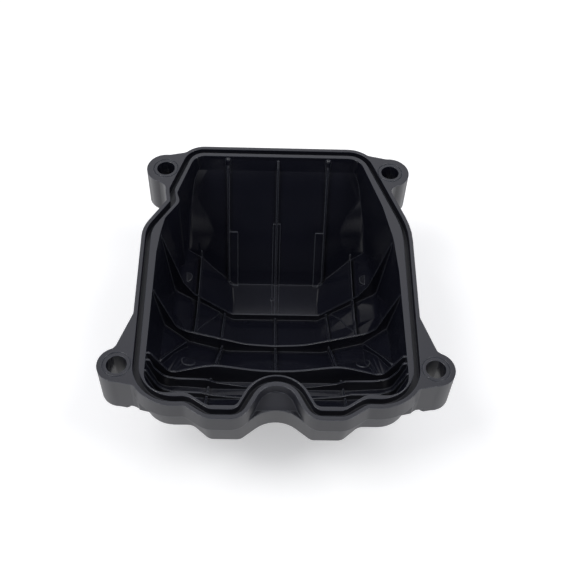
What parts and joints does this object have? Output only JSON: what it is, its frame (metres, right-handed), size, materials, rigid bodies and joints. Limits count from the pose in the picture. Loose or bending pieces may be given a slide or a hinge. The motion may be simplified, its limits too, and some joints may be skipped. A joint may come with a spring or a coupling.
{
  "type": "valve cover",
  "caption": "Deep ribbed moulded engine cover with a seal groove round its rim, corner bolt ears and an arch in the front edge.",
  "frame": {"origin": "on the rim's sealing face, midway between the two front bolt holes", "axes": "+Z out of the bowl's mouth, square to the rim; +Y from the front bolts to the back bolts; X across, with the cover's middle at X = 0"},
  "size_m": [0.1522, 0.1566, 0.0733],
  "materials": {
    "moulded_nylon": "satin, as moulded"
  },
  "bodies": {
    "root": {"cover": "moulded_nylon"}
  },
  "joints": []
}
